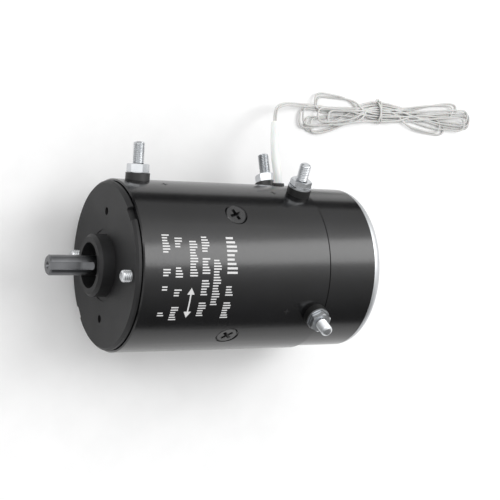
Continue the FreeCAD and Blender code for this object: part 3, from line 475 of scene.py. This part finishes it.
class MOTOR_OT_lead(bpy.types.Operator):
    """Two wires from the sleeve into a tied hank on the table"""
    bl_idname = "motor.lead"
    bl_label = "Lead"

    def execute(self, context):
        lead = context.scene.motor_lead
        replaced = (("lead_wire_a", "lead_hank"), ("lead_wire_b",))
        for wire, side in enumerate((-1, 1)):
            route = beside(WIRE_ROUTE, side * WIRE_SPACING / 2)
            piece = spline_piece("wire_%s" % "ab"[wire], route + hank_points(wire),
                                 lead.diameter / 2)
            piece.data.materials.append(finish_of("white_wire"))
            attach(piece, HOUSING)
            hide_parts(*replaced[wire])
        self.tie(context)
        return {"FINISHED"}

    def tie(self, context):
        """Two turns of waxed cord round the hank, crossed on top, with a short tail."""
        low = TIE_FIRST_STRAND - 1.6
        high = TIE_FIRST_STRAND + TIE_STRAND_STEP * (TIE_STRANDS_WIDE - 1) + 1.6
        pieces = []
        for number, (start, end) in enumerate(((-2.2, 0.4), (1.6, 0.2))):
            points = [
                (TIE_AT + start, low, -54.5),
                (TIE_AT + start, low + 2, -56.3),
                (TIE_AT + start, high - 2, -56.3),
                (TIE_AT + start, high, -54.5),
                (TIE_AT + (start + end) / 2, high - 2.5, -51.6),
                (TIE_AT + end, (low + high) / 2, -50.8),
                (TIE_AT + (start + end) / 2, low + 2.5, -51.6),
            ]
            pieces.append(spline_piece("tie_turn_%d" % number, points, 0.75 * MM, cyclic=True))
        tail = [
            (TIE_AT - 1.0, high - 1.0, -52.0),
            (TIE_AT - 2.5, high + 1.0, -51.2),
            (TIE_AT - 4.5, high - 0.5, -50.8),
            (TIE_AT - 6.0, high - 2.5, -51.4),
        ]
        pieces.append(spline_piece("tie_tail", tail, 0.7 * MM))
        whole = bmesh.new()
        for piece in pieces:
            graph = context.evaluated_depsgraph_get()
            mesh = bpy.data.meshes.new_from_object(piece.evaluated_get(graph))
            whole.from_mesh(mesh)
            bpy.data.objects.remove(piece)
        mesh = bpy.data.meshes.new("tie")
        whole.to_mesh(mesh)
        whole.free()
        mesh.shade_smooth()
        finished_piece("tie", mesh, "white_wire", HOUSING, ["hank_tie"])


class MOTOR_OT_finishes(bpy.types.Operator):
    """Give every piece of the frame its real finish"""
    bl_idname = "motor.finishes"
    bl_label = "Finishes"

    def execute(self, context):
        for entry in frame["record"]["subparts"]:
            node = frame["nodes"][entry["node"]]
            finish = entry["material_slot"]
            if entry["node"] == "drive_end_shield":
                finish = "cast_wash"
            if entry["node"] == "rear_cover":
                finish = "bare_rim"
            for index in range(len(node.data.materials)):
                node.data.materials[index] = finish_of(finish)
        return {"FINISHED"}


def thread_tree():
    """A rod along Z, centred on the origin, with a thread above a start height."""
    tree = bpy.data.node_groups.new("threaded_rod", "GeometryNodeTree")
    tree.interface.new_socket("Geometry", in_out="OUTPUT", socket_type="NodeSocketGeometry")
    for name in ("Radius", "Length", "Pitch", "Depth", "Chamfer", "Start"):
        tree.interface.new_socket(name, in_out="INPUT", socket_type="NodeSocketFloat")
    for name in ("Around", "Rings"):
        tree.interface.new_socket(name, in_out="INPUT", socket_type="NodeSocketInt")
    tree.interface.new_socket("Material", in_out="INPUT", socket_type="NodeSocketMaterial")
    given = add(tree, "NodeGroupInput").outputs

    def maths(operation, first, second=0.0, clamp=False):
        return add(tree, "ShaderNodeMath", {"operation": operation, "use_clamp": clamp},
                   {0: first, 1: second}).outputs[0]

    rod = add(tree, "GeometryNodeMeshCylinder", inputs={
        "Vertices": given["Around"], "Side Segments": given["Rings"],
        "Radius": given["Radius"], "Depth": given["Length"]})
    place = add(tree, "GeometryNodeInputPosition").outputs["Position"]
    split = add(tree, "ShaderNodeSeparateXYZ", inputs={"Vector": place}).outputs
    turn = maths("DIVIDE", maths("ARCTAN2", split["Y"], split["X"]), 2 * math.pi)
    phase = maths("FRACT", maths("SUBTRACT", maths("DIVIDE", split["Z"], given["Pitch"]), turn))
    groove = maths("MULTIPLY", maths("PINGPONG", phase, 0.5), 2.0)
    shaped = maths("SMOOTH_MIN", groove, 0.85)
    begun = maths("DIVIDE", maths("SUBTRACT", split["Z"], given["Start"]), given["Pitch"],
                  clamp=True)
    cut = maths("MULTIPLY", maths("MULTIPLY", shaped, given["Depth"]), begun)
    left = maths("SUBTRACT", maths("MULTIPLY", given["Length"], 0.5), split["Z"])
    near = maths("SUBTRACT", 1.0, maths("DIVIDE", left, given["Chamfer"], clamp=True))
    tip = maths("MULTIPLY", maths("POWER", near, 2.0), given["Chamfer"])
    lost = maths("DIVIDE", maths("MAXIMUM", cut, tip), given["Radius"])
    keep = maths("SUBTRACT", 1.0, lost)
    moved = add(tree, "ShaderNodeCombineXYZ", inputs={
        "X": maths("MULTIPLY", split["X"], keep), "Y": maths("MULTIPLY", split["Y"], keep),
        "Z": split["Z"]})
    shape = add(tree, "GeometryNodeSetPosition", inputs={
        "Geometry": rod.outputs["Mesh"], "Position": moved.outputs["Vector"]})
    solid = add(tree, "GeometryNodeRealizeInstances", inputs={"Geometry": shape.outputs[0]})
    coated = add(tree, "GeometryNodeSetMaterial", inputs={
        "Geometry": solid.outputs[0], "Material": given["Material"]})
    add(tree, "NodeGroupOutput", inputs={"Geometry": coated.outputs[0]})
    return tree


def threaded_rod(tree, thread, length, start):
    """A plain mesh of a threaded rod of a length, with its thread above a start height."""
    holder = bpy.data.objects.new("rod", bpy.data.meshes.new("rod"))
    bpy.context.scene.collection.objects.link(holder)
    modifier = holder.modifiers.new("thread", "NODES")
    modifier.node_group = tree
    values = {
        "Radius": thread.radius, "Length": length, "Pitch": thread.pitch,
        "Depth": thread.depth, "Chamfer": thread.chamfer, "Start": start, "Around": 40,
        "Rings": int(length / thread.pitch * 8), "Material": finish_of("bright_zinc"),
    }
    for socket in tree.interface.items_tree:
        if socket.in_out == "INPUT":
            modifier[socket.identifier] = values[socket.name]
    graph = bpy.context.evaluated_depsgraph_get()
    mesh = bpy.data.meshes.new_from_object(holder.evaluated_get(graph))
    bpy.data.objects.remove(holder)
    return mesh


def hexagon(radius, height):
    """A six-sided head from Z 0 up, with its top corners turned off."""
    form = bmesh.new()
    for low, high, bottom, top in ((0, 0.86, 1.0, 1.0), (0.86, 1.0, 1.0, 0.93)):
        made = bmesh.ops.create_cone(form, cap_ends=True, segments=6, radius1=radius * bottom,
                                     radius2=radius * top, depth=height * (high - low))
        bmesh.ops.translate(form, verts=made["verts"],
                            vec=(0, 0, height * (low + high) / 2))
    return form


def to_place(point, direction):
    """Matrix that stands a piece made along Z on a point, along a direction."""
    turn = direction.to_track_quat("Z", "Y").to_matrix().to_4x4()
    return Matrix.Translation(point) @ turn


class MOTOR_OT_springs(bpy.types.Operator):
    """Give each brush spring its own copy of its mesh"""
    bl_idname = "motor.springs"
    bl_label = "Springs"

    def execute(self, context):
        for number in range(1, 5):
            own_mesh(frame["nodes"]["brush_spring_%d" % number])
        return {"FINISHED"}


class MOTOR_OT_threads(bpy.types.Operator):
    """Threaded terminal studs and through bolts"""
    bl_idname = "motor.threads"
    bl_label = "Threads"

    def execute(self, context):
        thread = context.scene.motor_thread
        tree = thread_tree()
        for (node, along_x, angle), tip in zip(TERMINALS, STUD_TIPS):
            length = (tip - STUD_FOOT) * MM
            mesh = threaded_rod(tree, thread, length, -length / 2 + 14 * MM)
            whole = bmesh.new()
            whole.from_mesh(mesh)
            head = hexagon(7.5 * MM, 4 * MM)
            bmesh.ops.translate(head, verts=head.verts, vec=(0, 0, -length / 2))
            extra = bpy.data.meshes.new("head")
            head.to_mesh(extra)
            head.free()
            whole.from_mesh(extra)
            whole.to_mesh(mesh)
            whole.free()
            middle = on_tube(along_x, angle, (tip + STUD_FOOT) / 2)
            mesh.transform(to_place(middle, outward(angle)))
            finished_piece(node.replace("terminal_stud", "threaded_stud"), mesh, "bright_zinc",
                           HOUSING, [node])
        self.bolts(thread, tree)
        self.pole_screws()
        self.joint_ring()
        return {"FINISHED"}

    def pole_screws(self):
        """Four pole screws, each stopped at a different turn."""
        form = bmesh.new()
        for number in range(4):
            pole_screw(form, POLE_SCREW_ANGLE + 90 * number, 20 + 25 * number)
        bmesh.ops.recalc_face_normals(form, faces=form.faces)
        mesh = bpy.data.meshes.new("pole_screws")
        form.to_mesh(mesh)
        form.free()
        finished_piece("cross_recess_screws", mesh, "black_enamel", HOUSING, ["pole_screws"],
                       finish="screw_black")

    def joint_ring(self):
        """The sealing ring at the bottom of the joint between tube and cover."""
        form = bmesh.new()
        sides = 96
        front, rear = JOINT_SPAN
        section = ((front, 52.2), (front, 55.9), (rear, 55.3), (rear, 52.2))
        rings = [[form.verts.new(on_tube(x, 360 * i / sides, r)) for i in range(sides)]
                 for x, r in section]
        for k in range(4):
            for i in range(sides):
                j = (i + 1) % sides
                form.faces.new((rings[k][i], rings[k][j], rings[(k + 1) % 4][j],
                                rings[(k + 1) % 4][i]))
        bmesh.ops.recalc_face_normals(form, faces=form.faces)
        mesh = bpy.data.meshes.new("joint_ring")
        form.to_mesh(mesh)
        form.free()
        finished_piece("joint_ring", mesh, "gasket_fibre", HOUSING, ["cover_gasket"])

    def bolts(self, thread, tree):
        """Two through bolts: threaded front end, plain shank and a hexagon head."""
        whole = bmesh.new()
        front = (BOLT_THREAD_END_AT - BOLT_TIP_AT) * MM
        shank = (BOLT_SEAT_AT - BOLT_THREAD_END_AT) * MM
        for angle in BOLT_ANGLES:
            rod = threaded_rod(tree, thread, front, -front / 2)
            middle = on_tube((BOLT_TIP_AT + BOLT_THREAD_END_AT) / 2, angle, BOLT_CIRCLE)
            rod.transform(to_place(middle, Vector((-1, 0, 0))))
            whole.from_mesh(rod)
            plain = bmesh.new()
            bmesh.ops.create_cone(plain, cap_ends=True, segments=40, radius1=BOLT_SHANK_RADIUS * MM,
                                  radius2=BOLT_SHANK_RADIUS * MM, depth=shank)
            centre = on_tube((BOLT_THREAD_END_AT + BOLT_SEAT_AT) / 2, angle, BOLT_CIRCLE)
            plain.transform(to_place(centre, Vector((1, 0, 0))))
            head = hexagon(BOLT_HEAD_RADIUS * MM, BOLT_HEAD_HEIGHT * MM)
            seat = on_tube(BOLT_SEAT_AT, angle, BOLT_CIRCLE)
            head.transform(to_place(seat, Vector((1, 0, 0))))
            for form in (plain, head):
                part = bpy.data.meshes.new("bolt_part")
                form.to_mesh(part)
                form.free()
                whole.from_mesh(part)
        mesh = bpy.data.meshes.new("through_bolts")
        whole.to_mesh(mesh)
        whole.free()
        finished_piece("through_bolts", mesh, "bright_zinc", HOUSING, ["tie_bolts"])


def pole_screw(form, angle, turn):
    """A countersunk screw with a wide cross recess, sitting in a shaded countersink; its finish
    paints shade into the recess.
    """
    sides = 40
    arm, half = 4.4, 1.15
    outline = [(arm, half), (half, half), (half, arm)]
    cross = []
    for quarter in range(4):
        spin = Matrix.Rotation(math.radians(90 * quarter + turn), 2)
        cross += [spin @ Vector(corner) for corner in outline[:2]]
        cross.append(spin @ Vector(outline[2]))
    rim = [Vector((math.cos(2 * math.pi * i / sides), math.sin(2 * math.pi * i / sides)))
           * POLE_SCREW_HEAD for i in range(sides)]
    place = to_place(on_tube(POLE_SCREW_AT, angle, 0), outward(angle))

    def loop(corners, height, scale=1.0):
        return [form.verts.new(place @ (Vector((x * scale, y * scale, height)) * MM))
                for x, y in corners]

    def walls(upper, lower):
        count = len(upper)
        for i in range(count):
            j = (i + 1) % count
            form.faces.new((upper[i], upper[j], lower[j], lower[i]))

    shoulder = loop(rim, POLE_SCREW_TOP - 0.5)
    top = loop(rim, POLE_SCREW_TOP, 0.93)
    mouth = loop(cross, POLE_SCREW_TOP)
    bottom = loop(cross, POLE_SCREW_TOP - 2.8, 0.55)
    seat = loop(rim, POLE_SCREW_TOP - 3.6, 0.56)
    foot = loop(rim, POLE_SCREW_SEAT, 0.54)
    walls(top, shoulder)
    walls(shoulder, seat)
    walls(seat, foot)
    walls(mouth, bottom)
    form.faces.new(foot)
    form.faces.new(bottom)
    edges = []
    for ring in (top, mouth):
        for i, corner in enumerate(ring):
            edge = form.edges.get((corner, ring[(i + 1) % len(ring)]))
            edges.append(edge)
    bmesh.ops.triangle_fill(form, use_beauty=True, edges=edges)


def curved_patch(form, along, angles, radius=57.03, thickness=0.05):
    """A thin closed patch on the tube, between two places along X and two angles."""
    steps = max(2, int(abs(angles[1] - angles[0]) / 1.5))
    rows = []
    for step in range(steps + 1):
        angle = angles[0] + (angles[1] - angles[0]) * step / steps
        rows.append([
            form.verts.new(on_tube(x, angle, r))
            for x, r in ((along[0], radius), (along[1], radius),
                         (along[1], radius + thickness), (along[0], radius + thickness))
        ])
    for before, after in zip(rows, rows[1:]):
        for i in range(4):
            j = (i + 1) % 4
            form.faces.new((before[i], before[j], after[j], after[i]))
    form.faces.new(rows[0][::-1])
    form.faces.new(rows[-1])


class MOTOR_OT_print(bpy.types.Operator):
    """Blank rating block: bars in place of words, and a turning arrow"""
    bl_idname = "motor.print_block"
    bl_label = "Rating block"

    def execute(self, context):
        form = bmesh.new()
        for place, height, pitch, spans in PRINTED_LINES:
            turn = math.degrees(pitch / 57.0)
            for start, end in spans:
                for number in range(max(1, int((end - start) / turn))):
                    tall = height * STROKE_HEIGHTS[(number * 3 + int(start)) % 5]
                    first = start + number * turn
                    low = place - height / 2
                    curved_patch(form, (low, low + tall), (first, first + turn * 0.5))
        first, last = ARROW_SPAN
        curved_patch(form, (ARROW_AT - 0.5, ARROW_AT + 0.5), (first + 3, last - 3))
        head_steps = 6
        for tip, side in ((first, 1), (last, -1)):
            for step in range(head_steps):
                half = 2.6 * (step + 0.5) / head_steps
                span = (tip + side * step * 0.75, tip + side * (step + 1) * 0.75)
                curved_patch(form, (ARROW_AT - half, ARROW_AT + half), sorted(span))
        bmesh.ops.recalc_face_normals(form, faces=form.faces)
        mesh = bpy.data.meshes.new("rating_print")
        form.to_mesh(mesh)
        form.free()
        finished_piece("rating_print", mesh, "white_wire", HOUSING, finish="white_ink")
        self.marks()
        return {"FINISHED"}

    def marks(self):
        """Small plus signs pressed into the tube beside the terminals."""
        form = bmesh.new()
        for along_x, angle in STAMPED_MARKS:
            long, thin = math.degrees(2.2 / 57.0), math.degrees(0.35 / 57.0)
            curved_patch(form, (along_x - 0.35, along_x + 0.35), (angle - long, angle + long),
                         thickness=0.02)
            curved_patch(form, (along_x - 2.2, along_x + 2.2), (angle - thin, angle + thin),
                         thickness=0.03)
        bmesh.ops.recalc_face_normals(form, faces=form.faces)
        mesh = bpy.data.meshes.new("polarity_marks")
        form.to_mesh(mesh)
        form.free()
        finished_piece("polarity_marks", mesh, "gasket_fibre", HOUSING)


def lamp(name, place, aim, size, power):
    """An area lamp at a place, aimed at a point."""
    data = bpy.data.lights.new(name, "AREA")
    data.shape = "RECTANGLE"
    data.size, data.size_y = size
    data.energy = power
    # The lamps show only faintly in reflections; the glowing half tube paints the highlights in
    # their place.
    data.specular_factor = 0.15
    item = bpy.data.objects.new(name, data)
    bpy.context.scene.collection.objects.link(item)
    place = Vector(place)
    turn = (place - Vector(aim)).to_track_quat("Z", "X").to_matrix().to_4x4()
    item.matrix_world = Matrix.Translation(place) @ turn
    return item


class MOTOR_OT_stage(bpy.types.Operator):
    """Pale floor, softbox, a dark card and a glowing half tube that paint reflections, and an even
    room
    """
    bl_idname = "motor.stage"
    bl_label = "Stage"

    def execute(self, context):
        stage = context.scene.motor_stage
        floor = self.plane("floor", (0.1, 0, CAD_BOX[0].z), (3.0, 3.0), (0, 0, 1))
        floor.data.materials.append(surface("Pale seamless paper", stage.floor, "#FAFAFA", 0.9,
                                            2.0, 0.01))
        # A black card on the floor, hidden from the camera and casting no shadow: a painted dark
        # reflection on the glossy parts.
        card = self.plane("dark_reflection_card", (0.2, 0.75, CAD_BOX[0].z + 1 * MM), (2.6, 1.0), (0, 0, 1))
        card.data.materials.append(self.card_material())
        reflection_glow = self.reflection_glow()
        # The card and the glowing half tube show only in reflections: a painted dark reflection and
        # painted bright reflections.
        for item in (card, reflection_glow):
            item.visible_camera = False
            item.visible_diffuse = False
            item.visible_shadow = False
            item.visible_transmission = False
        lamp("softbox", (0.85, 0.42, 1.3), (0.07, 0, 0), (1.5, 0.62), stage.softbox)
        lamp("rim", (-0.9, 0.5, 0.6), (0, 0, 0), (0.5, 0.3), stage.softbox * 0.12)
        self.room(context, stage.surroundings)
        context.scene.view_settings.view_transform = "Standard"
        return {"FINISHED"}

    def card_material(self):
        """Matte black card, seen only in reflections: a painted dark reflection."""
        material, tree, shader = new_material("Black card")
        shader.inputs["Base Color"].default_value = linear("#050505")
        shader.inputs["Roughness"].default_value = 1.0
        return material

    def reflection_glow(self):
        """A glowing half tube over the motor, brighter on one side and seen only in reflections:
        painted reflections, not a lamp.
        """
        form = bmesh.new()
        sides, radius = 48, 1.6
        rows = []
        for x in (-2.0, 3.0):
            rows.append([form.verts.new((x, radius * math.cos(math.pi * i / sides),
                                         radius * math.sin(math.pi * i / sides)))
                         for i in range(sides + 1)])
        for i in range(sides):
            form.faces.new((rows[0][i], rows[0][i + 1], rows[1][i + 1], rows[1][i]))
        mesh = bpy.data.meshes.new("reflection_glow")
        form.to_mesh(mesh)
        form.free()
        item = bpy.data.objects.new("reflection_glow", mesh)
        bpy.context.scene.collection.objects.link(item)
        material = bpy.data.materials.new("Painted reflection glow")
        material.use_nodes = True
        tree = material.node_tree
        tree.nodes.clear()
        place = add(tree, "ShaderNodeTexCoord").outputs["Object"]
        split = add(tree, "ShaderNodeSeparateXYZ", inputs={"Vector": place}).outputs
        turn = add(tree, "ShaderNodeMath", {"operation": "ARCTAN2"},
                   {0: split["Z"], 1: split["Y"]}).outputs[0]
        share = add(tree, "ShaderNodeMath", {"operation": "DIVIDE"}, {0: turn, 1: math.pi})
        ramp = add(tree, "ShaderNodeValToRGB", inputs={"Fac": share.outputs[0]})
        stops = ramp.color_ramp.elements
        for angle, level in REFLECTION_GLOW_LEVELS[1:-1]:
            stops.new(angle / 180)
        for stop, (angle, level) in zip(stops, REFLECTION_GLOW_LEVELS):
            stop.position = angle / 180
            stop.color = (level / REFLECTION_GLOW_TOP, level / REFLECTION_GLOW_TOP, level / REFLECTION_GLOW_TOP, 1)
        glow = add(tree, "ShaderNodeEmission", inputs={
            "Color": ramp.outputs["Color"], "Strength": REFLECTION_GLOW_TOP})
        add(tree, "ShaderNodeOutputMaterial", inputs={"Surface": glow.outputs["Emission"]})
        item.data.materials.append(material)
        return item

    def plane(self, name, centre, size, normal):
        """A flat rectangle round a centre, facing its normal."""
        form = bmesh.new()
        bmesh.ops.create_grid(form, x_segments=1, y_segments=1, size=0.5)
        form.transform(Matrix.Diagonal((size[0], size[1], 1, 1)))
        turn = Vector(normal).to_track_quat("Z", "Y").to_matrix().to_4x4()
        form.transform(Matrix.Translation(centre) @ turn)
        mesh = bpy.data.meshes.new(name)
        form.to_mesh(mesh)
        form.free()
        item = bpy.data.objects.new(name, mesh)
        bpy.context.scene.collection.objects.link(item)
        return item

    def room(self, context, brightness):
        """Even surroundings: white to the camera and in reflections, softer on the rest."""
        world = bpy.data.worlds.new("room")
        context.scene.world = world
        world.use_nodes = True
        tree = world.node_tree
        rays = add(tree, "ShaderNodeLightPath").outputs
        seen = rays["Is Camera Ray"]
        for kind in ("Is Glossy Ray", "Is Transmission Ray"):
            seen = add(tree, "ShaderNodeMath", {"operation": "MAXIMUM"},
                       {0: seen, 1: rays[kind]}).outputs[0]
        strength = add(tree, "ShaderNodeMapRange", inputs={
            "Value": seen, "To Min": brightness, "To Max": 1.0})
        background = tree.nodes["Background"]
        background.inputs["Color"].default_value = linear("#FFFFFF")
        tree.links.new(strength.outputs["Result"], background.inputs["Strength"])


class MOTOR_PT_panel(bpy.types.Panel):
    """Lists the motor's steps"""
    bl_idname = "MOTOR_PT_panel"
    bl_label = "Motor"
    bl_space_type = "VIEW_3D"
    bl_region_type = "UI"
    bl_category = "Motor"

    def draw(self, context):
        for step in STEPS:
            self.layout.operator("motor." + step)


STEPS = ("camera", "lead", "finishes", "threads", "springs", "print_block", "stage")
GROUPS = (("motor_look", MotorLook), ("motor_thread", MotorThread), ("motor_lead", MotorLead),
          ("motor_stage", MotorStage))
CLASSES = (MOTOR_OT_camera, MOTOR_OT_lead, MOTOR_OT_finishes, MOTOR_OT_threads,
           MOTOR_OT_springs, MOTOR_OT_print, MOTOR_OT_stage, MOTOR_PT_panel)


def register():
    """Register the settings, operators and panel."""
    for name, group in GROUPS:
        bpy.utils.register_class(group)
        setattr(bpy.types.Scene, name, bpy.props.PointerProperty(type=group))
    for item in CLASSES:
        bpy.utils.register_class(item)


def unregister():
    """Undo register."""
    for item in reversed(CLASSES):
        bpy.utils.unregister_class(item)
    for name, group in reversed(GROUPS):
        delattr(bpy.types.Scene, name)
        bpy.utils.unregister_class(group)


def main():
    """Build everything."""
    register()
    for step in STEPS:
        getattr(bpy.ops.motor, step)()


if __name__ == "__main__":
    main()
